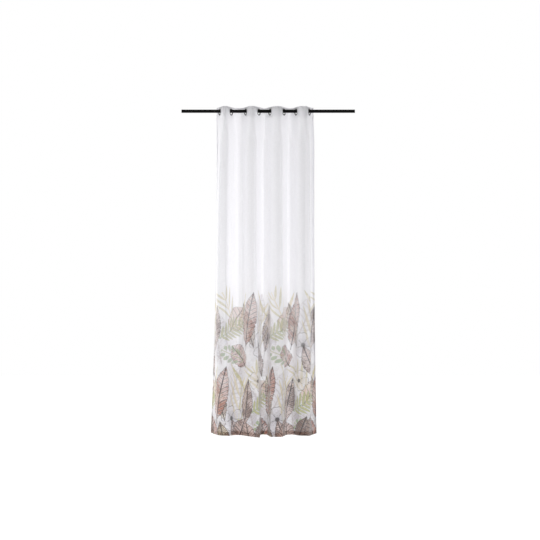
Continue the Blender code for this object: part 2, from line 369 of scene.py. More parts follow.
def crease_depth(across, heights):
    """How far the creases push the cloth to its back, by height and place across."""
    depth = np.zeros((len(heights), len(across)))
    for at_top, at_hem, half_width, sink, start, end in CREASES:
        down = (CLOTH_TOP - heights) / CLOTH_DROP
        centre = (at_top + (at_hem - at_top) * down)[:, None]
        strength = smooth((start - heights) / CREASE_FADE)
        if end > HEM_HEIGHT:
            strength = strength * smooth((heights - end) / CREASE_FADE)
        off = (across[None, :] - centre) / half_width
        depth += sink * strength[:, None] * np.exp(-off * off)
    return depth


DIRECTION_REACH = 0.0015  # how far to each side the cloth's direction is taken


class Cloth:
    """The hanging cloth as a surface: a point for any place across it, height and layer behind."""

    def __init__(self, heights, across):
        self.heights = heights
        self.across = across
        points, backs = [], []
        for height in heights:
            line = cloth_line(height)
            run = distances(line)
            run *= CLOTH_WIDTH / run[-1]
            after = along_line(line, run, np.minimum(across + DIRECTION_REACH, CLOTH_WIDTH))
            along = after - along_line(line, run, np.maximum(across - DIRECTION_REACH, 0.0))
            along /= np.linalg.norm(along, axis=1, keepdims=True)
            backs.append(np.stack([-along[:, 1], along[:, 0]], -1))
            points.append(along_line(line, run, across))
        self.backs = np.array(backs)
        self.points = np.array(points) + self.backs * crease_depth(across, heights)[..., None]
        self.lift = hem_lift(across)

    def between(self, table, height, across):
        """A table's value at places between its rows and columns."""
        row = np.interp(-height, -self.heights, np.arange(len(self.heights)))
        column = np.interp(across, self.across, np.arange(len(self.across)))
        r = np.minimum(row.astype(int), len(self.heights) - 2)
        c = np.minimum(column.astype(int), len(self.across) - 2)
        down, side = (row - r)[..., None], (column - c)[..., None]
        upper = table[r, c] * (1 - side) + table[r, c + 1] * side
        lower = table[r + 1, c] * (1 - side) + table[r + 1, c + 1] * side
        return upper * (1 - down) + lower * down

    def place(self, across, height, behind):
        """World points for matching arrays of places across, heights and layers behind."""
        across, height, behind = np.broadcast_arrays(across, height, behind)
        plan = self.between(self.points, height, across)
        plan = plan + self.between(self.backs, height, across) * behind[..., None]
        near_hem = smooth((HEM_HEIGHT + LIFT_LENGTH - height) / LIFT_LENGTH)
        rise = np.interp(across, self.across, self.lift) * near_hem
        return np.concatenate([plan, (height + rise)[..., None]], -1)


def steps_between(start, end, step):
    count = max(1, round(abs(end - start) / step))
    return np.linspace(start, end, count + 1)


def cloth_rows(sizes):
    """Each row of the panel: its height, its flat place up the cloth and its layer behind."""
    rows = []
    for over in np.linspace(sizes.top_turnover, TURNOVER_START, 3):
        rows.append((CLOTH_TOP - over, CLOTH_DROP + over, TURNOVER_BEHIND))
    over, share = TOP_ROUND
    rows.append((CLOTH_TOP - over, CLOTH_DROP + over, TURNOVER_BEHIND * share))
    heading_end = TAPE_FOOT - sizes.heading_row_step
    front = [
        *steps_between(CLOTH_TOP, heading_end, sizes.heading_row_step),
        *steps_between(heading_end, HEM_HEIGHT + sizes.bottom_hem, sizes.row_step)[1:],
        *steps_between(HEM_HEIGHT + sizes.bottom_hem, HEM_HEIGHT, sizes.bottom_hem / 4)[1:],
    ]
    rows += [(height, height - HEM_HEIGHT, 0.0) for height in front]
    over, share = HEM_ROUND
    rows.append((HEM_HEIGHT, -over, HEM_BEHIND * share))
    for up in np.linspace(HEM_START, sizes.bottom_hem, 4):
        rows.append((HEM_HEIGHT + up, -up, HEM_BEHIND))
    return np.array(rows)


def cloth_columns(sizes):
    """Each column of the panel: its place across, its flat place across and its layer behind."""
    back = np.linspace(sizes.side_hem, SIDE_HEM_START, 4)
    left = [(over, -over, HEM_BEHIND) for over in back]
    front = steps_between(0.0, CLOTH_WIDTH, sizes.column_step)
    right = [(CLOTH_WIDTH - over, CLOTH_WIDTH + over, HEM_BEHIND) for over in back[::-1]]
    return np.array(left + [(across, across, 0.0) for across in front] + right)


def eyelet_across(number):
    return SIDE_MARGIN + EYELET_SPACING * number


def grid(across, up):
    """Each place across with each place up, by row and column."""
    return np.stack(np.meshgrid(across, up), -1)


def punch(flat, keep):
    """Opens the eyelet holes in a flat grid: drops the faces inside and draws the rim to a circle."""
    middle = (flat[:-1, :-1] + flat[1:, :-1] + flat[:-1, 1:] + flat[1:, 1:]) / 4
    for number in range(len(EYELETS)):
        centre = np.array((eyelet_across(number), EYELET_HEIGHT))
        inside = np.linalg.norm(middle - centre, axis=-1) < EYELET_HOLE_RADIUS
        inside &= keep
        keep &= ~inside
        rim = np.zeros(flat.shape[:2], bool)
        for row, column in ((0, 0), (0, 1), (1, 0), (1, 1)):
            height, width = inside.shape
            rim[row : row + height, column : column + width] |= inside
        out = flat[rim] - centre
        reach = np.linalg.norm(out, axis=1, keepdims=True)
        flat[rim] = centre + out / np.maximum(reach, 1e-6) * EYELET_HOLE_RADIUS
    return flat, keep


def grid_mesh(name, points, flat, keep):
    """A sheet through a grid of points, with its flat places as its UV map."""
    rows, columns = keep.shape
    index = np.arange((rows + 1) * (columns + 1)).reshape(rows + 1, columns + 1)
    quads = np.stack([index[:-1, :-1], index[1:, :-1], index[1:, 1:], index[:-1, 1:]], -1)[keep]
    used, packed = np.unique(quads, return_inverse=True)
    mesh = bpy.data.meshes.new(name)
    mesh.from_pydata(points.reshape(-1, 3)[used].tolist(), [], packed.reshape(-1, 4).tolist())
    uv = mesh.uv_layers.new(name="Flat")
    corners = np.zeros(len(mesh.loops), int)
    mesh.loops.foreach_get("vertex_index", corners)
    uv.data.foreach_set("uv", flat.reshape(-1, 2)[used][corners].astype(np.float32).ravel())
    mesh.shade_smooth()
    return mesh


def add_to_scene(name, data):
    made = bpy.data.objects.new(name, data)
    bpy.context.scene.collection.objects.link(made)
    return made


def add_piece(name, mesh, material):
    piece = add_to_scene(name, mesh)
    piece.data.materials.clear()
    piece.data.materials.append(material)
    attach(piece, BODY)
    return piece


@functools.cache
def hanging_cloth():
    """The cloth's surface, worked out once."""
    sizes = bpy.context.scene.curtain_cloth
    heights = [CLOTH_TOP, *steps_between(HEADING_FOOT, HEM_HEIGHT, sizes.row_step)]
    return Cloth(np.array(heights), steps_between(0.0, CLOTH_WIDTH, sizes.column_step / 2))


# ---- shader maths ----


class Wire:
    """A value on its way through a material's nodes: arithmetic on it adds Math nodes."""

    def __init__(self, tree, socket):
        self.tree = tree
        self.socket = socket

    def node(self, kind, settings=None, values=None, output=0):
        """Adds a node: its settings first, then each socket's value or link."""
        made = self.tree.nodes.new(kind)
        for name, value in (settings or {}).items():
            if name == "stops":
                shape_ramp(made.color_ramp, value)
            else:
                setattr(made, name, value)
        for name, value in (values or {}).items():
            if isinstance(value, Wire):
                self.tree.links.new(value.socket, made.inputs[name])
            else:
                made.inputs[name].default_value = value
        return Wire(self.tree, made.outputs[output])

    def maths(self, operation, *others, clamp=False):
        values = dict(enumerate((self, *others)))
        return self.node("ShaderNodeMath", {"operation": operation, "use_clamp": clamp}, values)

    __add__ = functools.partialmethod(maths, "ADD")
    __sub__ = functools.partialmethod(maths, "SUBTRACT")
    __mul__ = functools.partialmethod(maths, "MULTIPLY")
    __truediv__ = functools.partialmethod(maths, "DIVIDE")
    times_plus = functools.partialmethod(maths, "MULTIPLY_ADD")
    most = functools.partialmethod(maths, "MAXIMUM")
    size = functools.partialmethod(maths, "ABSOLUTE")
    clamped = functools.partialmethod(maths, "ADD", 0.0, clamp=True)

    def __rsub__(self, other):
        return self.node("ShaderNodeMath", {"operation": "SUBTRACT"}, {0: other, 1: self})

    def eased(self, low, high, at_low=0.0, at_high=1.0):
        """Runs softly from at_low to at_high as the value goes from low to high."""
        return self.node(
            "ShaderNodeMapRange",
            {"interpolation_type": "SMOOTHSTEP"},
            {0: self, 1: low, 2: high, 3: at_low, 4: at_high},
        )

    def ramp(self, *stops):
        """The height over the value of a smooth curve through the stops, each a place and height."""
        settings = {"stops": [(place, (height,) * 3) for place, height in stops]}
        return self.node("ShaderNodeValToRGB", settings, {0: self})

    def noise(self, scale, detail=2.0, roughness=0.5):
        """Soft noise from 0 to 1 on a vector."""
        values = {"Vector": self, "Scale": scale, "Detail": detail, "Roughness": roughness}
        return self.node("ShaderNodeTexNoise", {"noise_dimensions": "2D"}, values)

    def stretched(self, across, up):
        """A vector with its first two parts stretched."""
        return self.node(
            "ShaderNodeVectorMath", {"operation": "MULTIPLY"}, {0: self, 1: (across, up, 1.0)}
        )

    def parts(self):
        first = self.node("ShaderNodeSeparateXYZ", None, {0: self})
        return first, Wire(self.tree, first.socket.node.outputs[1])

    def tinted(self, low, high):
        """A colour between two, by this value as the share."""
        return self.node(
            "ShaderNodeMix",
            {"data_type": "RGBA"},
            {0: self, 6: low, 7: high},
            output=2,
        )


def shape_ramp(ramp, stops):
    ramp.interpolation = "CARDINAL"
    while len(ramp.elements) < len(stops):
        ramp.elements.new(0.5)
    for element, (place, colour) in zip(ramp.elements, stops):
        element.position = place
        element.color = (*colour, 1.0)


def linear(colour):
    """A picked colour as the light it sends back, with full alpha."""
    parts = [c / 12.92 if c <= 0.04045 else ((c + 0.055) / 1.055) ** 2.4 for c in colour]
    return (*parts, 1.0)


def emptied(tree, output_kind):
    """The output node and a first wire in a node tree that is cleared for them."""
    tree.nodes.clear()
    return tree.nodes.new(output_kind), Wire(tree, None)


def material_of(name, surface, *sizes):
    """A new material with the surface that a function builds, given a first wire and sizes."""
    material = bpy.data.materials.new(name)
    material.use_nodes = True
    output, start = emptied(material.node_tree, "ShaderNodeOutputMaterial")
    material.node_tree.links.new(surface(start, *sizes).socket, output.inputs["Surface"])
    return material


def inside_object(start):
    """Places in metres, as the object has them."""
    return start.node("ShaderNodeTexCoord", output=3)


def bumped(start, height, strength, distance):
    return start.node(
        "ShaderNodeBump", None, {"Strength": strength, "Distance": distance, "Height": height}
    )


def coat(start, colour, roughness, specular, **more):
    """The surface that light bounces off; more names other sockets, with _ for a space."""
    values = {"Base Color": colour, "Roughness": roughness, "Specular IOR Level": specular}
    for name, value in more.items():
        values[name.replace("_", " ")] = value
    return start.node("ShaderNodeBsdfPrincipled", None, values)


def mixed(start, share, first, second):
    return start.node("ShaderNodeMixShader", None, {0: share, 1: first, 2: second})


WHITE = (1.0, 1.0, 1.0, 1.0)


def scaled(colour, factor):
    return (*(part * factor for part in colour[:3]), 1.0)


# ---- the leaf border ----

INK_BREADTH = 0.92
STALK = 0.09
BROAD = ((0.0, 0.07), (0.12, 0.62), (0.42, 1.0), (0.76, 0.74), (1.0, 0.0))
LANCE = ((0.0, 0.05), (0.20, 0.62), (0.45, 1.0), (0.78, 0.55), (1.0, 0.0))
ROUND = ((0.0, 0.07), (0.14, 0.84), (0.46, 1.0), (0.80, 0.86), (1.0, 0.0))
BLADE = ((0.0, 0.40), (0.30, 0.95), (0.60, 0.90), (0.90, 0.35), (1.0, 0.0))
SLENDER = ((0.0, 0.04), (0.30, 0.26), (0.60, 0.24), (0.88, 0.10), (1.0, 0.0))
FERN = ((0.0, 0.30), (0.35, 0.42), (0.65, 0.36), (0.90, 0.18), (1.0, 0.0))
OVAL = ((0.0, 0.0), (0.22, 0.02), (0.50, 0.40), (0.82, 0.36), (1.0, 0.0))

# The plain motifs of the border. The base of a leaf or frond is given across and up the cloth, then
# its lean in degrees, its length and half width, and how far its rib bends. Each shows in the first
# row, and in as many more rows up as it says.
LEAVES = (
    # across, up, lean, length, half, bend, shape, veins, rise, light, deep, line, cover, strength, rows
    (0.470, 0.02, -10, 0.40, 0.095, 0.15, BROAD, 9, 1.6, "mist", "haze", "taupe", 0.55, 0.60, 1),
    (0.215, 0.22, 26, 0.33, 0.085, -0.20, BROAD, 8, 1.5, "haze", "mist", "taupe", 0.55, 0.60, 1),
    (0.390, 0.34, -36, 0.26, 0.014, 0.80, BLADE, 2, 0.4, "sand", "olive", "olive", 0.75, 0.70, 1),
    (0.020, 0.30, 26, 0.26, 0.015, -0.90, BLADE, 2, 0.4, "olive", "sand", "olive", 0.75, 0.70, 1),
    (0.570, 0.24, 34, 0.22, 0.078, 0.15, ROUND, 6, 1.2, "sand", "rose", "umber", 0.62, 0.90, 1),
    (0.085, -0.03, -40, 0.21, 0.074, -0.15, ROUND, 6, 1.2, "rose", "rust", "dark", 0.72, 0.95, 1),
    (0.180, 0.11, -16, 0.37, 0.062, -0.30, LANCE, 11, 1.8, "sand", "taupe", "dark", 0.66, 0.95, 1),
    (0.100, 0.12, 10, 0.43, 0.070, 0.30, BROAD, 12, 2.0, "rose", "rust", "dark", 0.74, 1.00, 1),
    (0.370, 0.07, 14, 0.38, 0.064, -0.30, LANCE, 10, 1.9, "rose", "umber", "dark", 0.74, 1.00, 1),
    (0.350, -0.12, -26, 0.28, 0.062, 0.25, LANCE, 9, 1.8, "rose", "umber", "dark", 0.74, 1.00, 1),
    (0.500, -0.10, 18, 0.27, 0.066, 0.20, BROAD, 9, 1.7, "taupe", "umber", "dark", 0.84, 1.00, 0),
    (0.180, -0.12, -8, 0.24, 0.060, -0.20, LANCE, 9, 1.7, "sand", "umber", "dark", 0.84, 1.00, 0),
    (0.270, -0.10, 22, 0.26, 0.068, 0.20, ROUND, 7, 1.4, "rose", "umber", "dark", 0.84, 1.00, 0),
    (0.640, -0.10, -4, 0.28, 0.062, 0.25, LANCE, 9, 1.8, "taupe", "umber", "dark", 0.84, 1.00, 0),
    (0.425, -0.11, -6, 0.22, 0.070, -0.20, ROUND, 6, 1.3, "rose", "taupe", "dark", 0.84, 1.00, 0),
)
FRONDS = (
    # across, up, lean, length, half, bend, shape, leaflets, rise, light, deep, cover, rows
    (0.300, 0.00, 4, 0.42, 0.120, 0.20, SLENDER, 4.5, 0.62, "sand", "olive", 0.80, 1),
    (0.610, 0.26, -22, 0.30, 0.105, -0.20, SLENDER, 4.0, 0.60, "olive", "sand", 0.80, 1),
    (0.450, 0.18, 60, 0.29, 0.090, 0.30, FERN, 9.0, 0.22, "olive", "sage", 0.85, 1),
    (0.060, 0.00, -64, 0.25, 0.075, -0.25, OVAL, 5.0, 0.22, "sage", "olive", 0.80, 1),
)
FLOWERS = (
    # across, up, radius, turn in degrees, light, deep, line, cover, rows
    (0.245, 0.130, 0.104, 12, "mist", "haze", "dark", 0.50, 1),
    (0.530, 0.420, 0.086, 40, "mist", "sand", "dark", 0.50, 0),
    (0.560, 0.020, 0.092, 25, "mist", "taupe", "dark", 0.60, 0),
)


class Border:
    """The printed border while it is being drawn: what each new motif is laid over."""

    def __init__(self, start, sizes, cloth_colour):
        self.start = start
        self.sizes = sizes
        self.place = start.node("ShaderNodeUVMap", {"uv_map": "Flat"})
        self.across, self.up = self.place.parts()
        self.fleck = self.place.noise(85.0, 3.0, 0.65)
        self.cloud = self.place.noise(9.0, 3.0, 0.55)
        self.breadth = self.fleck.times_plus(0.16, INK_BREADTH)
        self.grain = self.fleck.eased(0.42, 0.60)
        self.bloom = self.cloud.eased(0.38, 0.62)
        self.depth = self.up.eased(1.0, 0.0, 0.76, 1.08)
        self.colour = cloth_colour
        self.ink = None

    def tint(self, name):
        return linear(getattr(self.sizes, name))

    def shade(self, share, light, deep):
        """A colour between two of the print's, by a share."""
        return share.tinted(self.tint(light), self.tint(deep))

    def local(self, across, up, lean, length, half, rows):
        """Places on a motif: across it in half widths and along it in lengths, and where it shows.

        The motif comes back at each repeat, and each next row is half a repeat across.
        """
        width, height = self.sizes.repeat_width, self.sizes.repeat_height
        middle = up + math.cos(math.radians(lean)) * length / 2
        row = self.up.times_plus(1 / height, -middle / height).maths("ROUND")
        side = row.times_plus(-width / 2, self.across)
        centre = across + math.sin(math.radians(lean)) * length / 2
        side = side.maths("WRAP", centre + width / 2, centre - width / 2)
        near = self.start.node(
            "ShaderNodeCombineXYZ", None, {0: side, 1: row.times_plus(-height, self.up)}
        )
        turned = self.start.node(
            "ShaderNodeMapping",
            {"vector_type": "TEXTURE"},
            {
                "Vector": near,
                "Location": (across, up, 0.0),
                "Rotation": (0.0, 0.0, -math.radians(lean)),
                "Scale": (half, length, 1.0),
            },
        )
        shown = row.maths("LESS_THAN", rows + 0.5) * self.depth
        x, y = turned.parts()
        return x, y, shown

    def lay(self, cover, colour):
        """Lays a motif over what is there."""
        self.colour = cover.tinted(self.colour, colour)
        self.ink = cover if self.ink is None else self.ink.most(cover)

    def leaf(self, across, up, lean, length, half, bend, shape, veins, rise, light, deep, line, cover,
             strength, rows):
        x, y, shown = self.local(across, up, lean, length, half, rows)
        side = (y * y).times_plus(-bend, x).size()
        bow = side * side.times_plus(-0.35 * rise, rise)
        stripe = (y.times_plus(veins, self.cloud) - bow).maths("PINGPONG", 0.5)
        split = stripe.eased(0.30, 0.50) * (0.10 * strength)
        edge = y.ramp(*shape) * (self.breadth - split) - side
        inside = edge.eased(0.0, 0.06) * y.eased(-STALK, 0.02 - STALK) * shown
        vein = stripe.eased(0.14, 0.03) * (0.90 * strength)
        rib = side.eased(0.10, 0.03) * strength
        outline = edge.eased(0.13, 0.03) * strength
        lines = vein.most(rib).most(outline)
        wet = stripe.times_plus(1.10, side * 0.35 - 0.36)
        fill = self.grain.times_plus(0.45, self.bloom.times_plus(0.65, wet)).clamped()
        colour = lines.tinted(self.shade(fill, light, deep), self.tint(line))
        self.lay((inside * lines.times_plus(0.35, fill * 0.35 + (cover - 0.18))).clamped(), colour)

    def frond(self, across, up, lean, length, half, bend, shape, leaflets, rise, light, deep, cover,
              rows):
        x, y, shown = self.local(across, up, lean, length, half, rows)
        side = (y * y).times_plus(-bend, x).size()
        root = side.times_plus(-rise, y)
        reach = root.ramp((0.0, 0.0), (0.08, 0.70), (0.45, 1.0), (0.85, 0.50), (1.0, 0.0))
        half_leaflet = (side / reach.most(0.01)).ramp(*shape)
        edge = half_leaflet - (root * leaflets).maths("PINGPONG", 0.5)
        leaflet = edge.eased(0.0, 0.06) * reach.eased(0.02, 0.10)
        stem = side.eased(0.06, 0.03) * (y * (1.0 - y)).eased(0.0, 0.02)
        tone = self.grain.times_plus(0.50, edge.eased(0.12, 0.02) * 0.60).clamped()
        self.lay((leaflet.most(stem) * shown * cover).clamped(), self.shade(tone, light, deep))

    def flower(self, across, up, radius, turn, light, deep, line, cover, rows):
        x, y, shown = self.local(across, up, 0.0, radius, radius, rows)
        angle = y.maths("ARCTAN2", x).times_plus(1 / (2 * math.pi), turn / 360)
        reach = (x * x + y * y).maths("SQRT")
        petal = (angle * 5.0).maths("PINGPONG", 0.5) * 2.0
        edge = petal.ramp((0.0, 0.45), (0.30, 0.84), (0.65, 0.97), (1.0, 0.92)) - reach
        edge = self.cloud.times_plus(0.12, edge) - 0.06
        inside = edge.eased(0.0, 0.04) * shown
        outline = edge.eased(0.10, 0.03)
        gaps = petal.eased(0.14, 0.03) * reach.eased(1.0, 0.4)
        rays = (angle * 35.0).maths("PINGPONG", 0.5).eased(0.16, 0.04) * reach.eased(0.80, 0.20)
        heart = reach.eased(0.24, 0.12)
        lines = outline.most(gaps).most(rays * 0.65).most(heart) * 0.95
        fill = self.grain.times_plus(0.35, reach.eased(0.9, 0.2) * 0.6).clamped()
        colour = lines.tinted(self.shade(fill, light, deep), self.tint(line))
        self.lay((inside * lines.times_plus(0.40, fill * 0.15 + cover)).clamped(), colour)


def draw_border(start, sizes, cloth_colour):
    """A soft wash, and over it the motifs from back to front."""
    border = Border(start, sizes, cloth_colour)
    band = border.cloud.times_plus(0.34, border.up).eased(1.16, 0.80)
    # From half a metre up down to the hem this layer grows stronger, so the border is darker towards the
    # bottom.
    low = border.up.eased(0.50, 0.0)
    wash = band * (border.bloom * 0.30 + low.times_plus(0.36, 0.16))
    border.lay(wash, border.shade(border.grain, "haze", "taupe"))
    layers = (
        (border.leaf, LEAVES[:2]),
        (border.frond, FRONDS[:2]),
        (border.leaf, LEAVES[2:6]),
        (border.frond, FRONDS[2:]),
        (border.flower, FLOWERS),
        (border.leaf, LEAVES[6:]),
    )
    for draw, rows in layers:
        for row in rows:
            draw(*row)
    return border


YARN_SWING = 0.03  # how far the voile's cover goes up on a yarn and down between
INK_COVER = 0.15  # cover that full ink adds
INK_SHADE = 0.80  # share of the light through that full ink takes


def woven(place, yarns, along):
    """A plain weave: noise drawn out along the warp and along the weft."""
    return place.stretched(yarns, along).noise(1.0, 2.0) + place.stretched(along, yarns).noise(1.0, 2.0)


def voile(start, sizes, print_sizes):
    """Sheer woven voile with the leaf border printed on it."""
    border = draw_border(start, print_sizes, linear(sizes.colour))
    yarn = woven(border.place, 900.0, 26.0)
    bump = bumped(start, yarn, 0.15, 0.0004)
    face = coat(start, border.colour, 0.85, 0.15, Sheen_Weight=0.15, Normal=bump)
    through = start.node("ShaderNodeBsdfTranslucent", None, {"Color": linear(sizes.through)})
    glow = border.ink.times_plus(-INK_SHADE * sizes.glow, sizes.glow)
    clear = start.node("ShaderNodeBsdfTransparent")
    cover = yarn.eased(0.7, 1.3, sizes.opacity - YARN_SWING, sizes.opacity + YARN_SWING)
    cover = (cover + border.ink * INK_COVER).clamped()
    return mixed(start, cover, clear, mixed(start, glow, face, through))


def tape(start, sizes):
    """Stiff white tape with a close cross weave."""
    weave = woven(start.node("ShaderNodeUVMap", {"uv_map": "Flat"}), 700.0, 60.0)
    white = linear(sizes.tape_colour)
    colour = weave.eased(0.7, 1.3).tinted(scaled(white, 0.93), white)
    face = coat(start, colour, 0.8, 0.2, Normal=bumped(start, weave, 0.3, 0.0005))
    through = start.node("ShaderNodeBsdfTranslucent", None, {"Color": scaled(WHITE, 0.985)})
    return mixed(start, sizes.tape_glow, face, through)


def thread(start, sizes):
    """White sewing thread with a fine twist."""
    twist = inside_object(start).noise(2500.0, 1.0)
    white = linear(sizes.thread_colour)
    return coat(start, twist.eased(0.3, 0.7).tinted(scaled(white, 0.86), white), 0.7, 0.5)


def lacquer(start, sizes):
    """Black lacquered metal, worn a little lighter and rougher in patches here and there."""
    haze = inside_object(start).noise(180.0, 3.0)
    black = linear(sizes.ring_colour)
    colour = haze.eased(0.45, 0.75).tinted(black, scaled(black, 2.2))
    gloss = haze.eased(0.3, 0.7, 0.28, 0.42)
    return coat(start, colour, gloss, 0.35, Normal=bumped(start, haze, 0.10, 0.0003))


def powder_paint(start, sizes):
    """Black powder paint with its fine orange-peel grain and faint rubbed streaks."""
    place = inside_object(start)
    streak = place.stretched(9.0, 220.0).noise(1.0, 3.0)
    black = linear(sizes.rod_colour)
    colour = streak.eased(0.48, 0.80).tinted(black, scaled(black, 1.9))
    gloss = streak.eased(0.35, 0.75, 0.50, 0.38)
    bump = bumped(start, place.noise(900.0, 2.0), 0.12, 0.0003)
    return coat(start, colour, gloss, 0.04, Normal=bump)


def paper(start):
    """Matt white studio paper with a barely seen mottle."""
    mottle = inside_object(start).noise(2.0, 2.0)
    return coat(start, mottle.tinted(scaled(WHITE, 0.97), scaled(WHITE, 0.985)), 0.9, 0.0)


# ---- modelling helpers ----


def deselect():
    if bpy.context.object and bpy.context.object.mode != "OBJECT":
        bpy.ops.object.mode_set(mode="OBJECT")
    bpy.ops.object.select_all(action="DESELECT")


def turned(profile, steps):
    """A closed ring turned round +Z from its half section, a table of radius and height.

    It starts as a circle and is drawn out from one line of the section to the next. Works on a
    new object, or adds to the one in edit mode.
    """
    (radius, height), *rest = profile
    bpy.ops.mesh.primitive_circle_add(
        vertices=steps, radius=radius, fill_type="NOTHING", location=(0.0, 0.0, height)
    )
    if bpy.context.object.mode != "EDIT":
        bpy.ops.object.transform_apply()
        bpy.ops.object.mode_set(mode="EDIT")
        bpy.ops.mesh.select_all(action="SELECT")
    for next_radius, next_height in [*rest, profile[0]]:
        bpy.ops.mesh.extrude_edges_move(
            TRANSFORM_OT_translate={"value": (0.0, 0.0, next_height - height)}
        )
        grow = next_radius / radius
        bpy.ops.transform.resize(value=(grow, grow, 1.0), center_override=(0.0, 0.0, next_height))
        radius, height = next_radius, next_height


def edit_faces(obj, chosen):
    """Goes into edit mode with just the chosen faces selected."""
    bpy.ops.object.mode_set(mode="EDIT")
    bpy.ops.mesh.select_mode(type="FACE")
    bpy.ops.mesh.select_all(action="DESELECT")
    bpy.ops.object.mode_set(mode="OBJECT")
    for face in obj.data.polygons:
        face.select = chosen(face)
    bpy.ops.object.mode_set(mode="EDIT")


def finished_mesh(made, smooth_angle):
    """The mesh of an object that was being edited, with its shading; the object goes."""
    bpy.ops.object.mode_set(mode="OBJECT")
    bpy.ops.object.shade_smooth_by_angle(angle=smooth_angle)
    mesh = made.data.copy()
    bpy.data.objects.remove(made)
    return mesh


def across_eyelet(number):
    """Turns +Z to the eyelet's axis, pointing to the cloth's back, and moves to its centre."""
    x, y = wall_direction(number)
    turn = Matrix((Vector((x, y, 0.0)), Vector((0.0, 0.0, -1.0)), Vector((-y, x, 0.0)))).transposed()
    place = Vector((EYELETS[number][0], 0.0, EYELET_HEIGHT))
    return Matrix.Translation(place) @ turn.to_4x4()


# The half sections of a ring's two pressed halves, in radius and height to the cloth's back.
FRONT_HALF = (  # bore, dome, rim, underside, neck and rolled lip
    (0.0204, 0.0040),
    (0.0200, 0.0030),
    (0.0200, -0.0014),
    (0.0203, -0.0024),
    (0.0211, -0.0031),
    (0.0224, -0.0033),
    (0.0240, -0.0029),
    (0.0253, -0.0020),
    (0.0260, -0.0009),
    (0.0260, -0.0005),
    (0.0254, -0.0003),
    (0.0219, -0.0003),
    (0.0216, 0.0000),
    (0.0216, 0.0036),
    (0.0222, 0.0042),
    (0.0219, 0.0046),
    (0.0210, 0.0045),
)
BACK_HALF = (  # the washer that the neck is rolled over
    (0.0221, 0.0027),
    (0.0224, 0.0038),
    (0.0233, 0.0043),
    (0.0245, 0.0041),
    (0.0256, 0.0034),
    (0.0260, 0.0029),
    (0.0258, 0.0027),
)
RING_MERGE = 0.000005  # the first and last circles of a half section are one
RING_SMOOTH = math.radians(50)
ROD_SMOOTH = math.radians(40)
PLUG_STEPS = ((0.0002, -0.0006), (0.0008, 0.0005))  # in from the tube's rim, and out: gap, dome


# ---- the operators ----


class CURTAIN_OT_panel(bpy.types.Operator):
    """Hangs the sheer panel in its folds, with its hems turned back and its eyelet holes"""

    bl_idname = "curtain.panel"
    bl_label = "Hang the Panel"

    def execute(self, context):
        sizes = context.scene.curtain_cloth
        rows, columns = cloth_rows(sizes), cloth_columns(sizes)
        surface = grid(columns[:, 0], rows[:, 0])
        unfolding = grid(columns[:, 1] - columns[:, 0], rows[:, 1] - rows[:, 0])
        in_front = [(table[:-1, 2] == 0) & (table[1:, 2] == 0) for table in (rows, columns)]
        front = np.logical_and.outer(*in_front)
        surface, kept = punch(surface, front.copy())
        behind = rows[:, 2, None] + columns[:, 2]
        points = hanging_cloth().place(surface[..., 0], surface[..., 1], behind)
        mesh = grid_mesh("voile_panel", points, surface + unfolding, kept | ~front)
        material = material_of("printed_voile", voile, sizes, context.scene.curtain_print)
        panel = add_piece("voile_panel", mesh, material)
        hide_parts("curtain_panel")
        return {"FINISHED"}


class CURTAIN_OT_tape(bpy.types.Operator):
    """Lays the stiff tape behind the heading"""

    bl_idname = "curtain.tape"
    bl_label = "Lay the Heading Tape"

    def execute(self, context):
        sizes = context.scene.curtain_heading
        cloth = context.scene.curtain_cloth
        columns = steps_between(TAPE_INSET, CLOTH_WIDTH - TAPE_INSET, cloth.column_step)
        rows = steps_between(TAPE_TOP, TAPE_FOOT, cloth.heading_row_step)
        everywhere = np.ones((len(rows) - 1, len(columns) - 1), bool)
        surface, keep = punch(grid(columns, rows), everywhere)
        middle = TAPE_FRONT + sizes.tape_thickness / 2
        points = hanging_cloth().place(surface[..., 0], surface[..., 1], middle)
        mesh = grid_mesh("stiff_tape", points, surface, keep)
        material = material_of("stiff_heading_tape", tape, sizes)
        strip = add_piece("stiff_tape", mesh, material)
        solid = strip.modifiers.new("Thickness", "SOLIDIFY")
        solid.thickness = sizes.tape_thickness
        solid.offset = 0.0
        deselect()
        context.view_layer.objects.active = strip
        strip.select_set(True)
        bpy.ops.object.modifier_apply(modifier=solid.name)
        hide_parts("heading_tape")
        return {"FINISHED"}


def stitch_line(cloth, across, heights, behind, sizes):
    """Bars of thread along a line on the cloth: for each, two ends and four points round its middle."""
    line = cloth.place(across, heights, behind)
    run = distances(line)
    starts = np.arange(0.0, run[-1] - sizes.stitch_length, sizes.stitch_pitch)
    head = along_line(line, run, starts)
    foot = along_line(line, run, starts + sizes.stitch_length)
    along = (foot - head) / np.linalg.norm(foot - head, axis=1, keepdims=True)
    upright = np.abs(along[:, 2:]) > 0.5
    aside = np.cross(along, np.where(upright, (0.0, 1.0, 0.0), (0.0, 0.0, 1.0)))
    aside *= sizes.thread_radius / np.linalg.norm(aside, axis=1, keepdims=True)
    beside = np.cross(along, aside)
    far, near = 1 - THREAD_TAPER, THREAD_TAPER
    first, last = head * far + foot * near, head * near + foot * far
    rounds = [first + aside, first + beside, first - aside, first - beside]
    rounds += [last + aside, last + beside, last - aside, last - beside]
    return np.stack([head, *rounds, foot], 1)


STITCH_FACES = (
    [(0, 1 + (side + 1) % 4, 1 + side) for side in range(4)]
    + [(1 + side, 1 + (side + 1) % 4, 5 + (side + 1) % 4, 5 + side) for side in range(4)]
    + [(9, 5 + side, 5 + (side + 1) % 4) for side in range(4)]
)


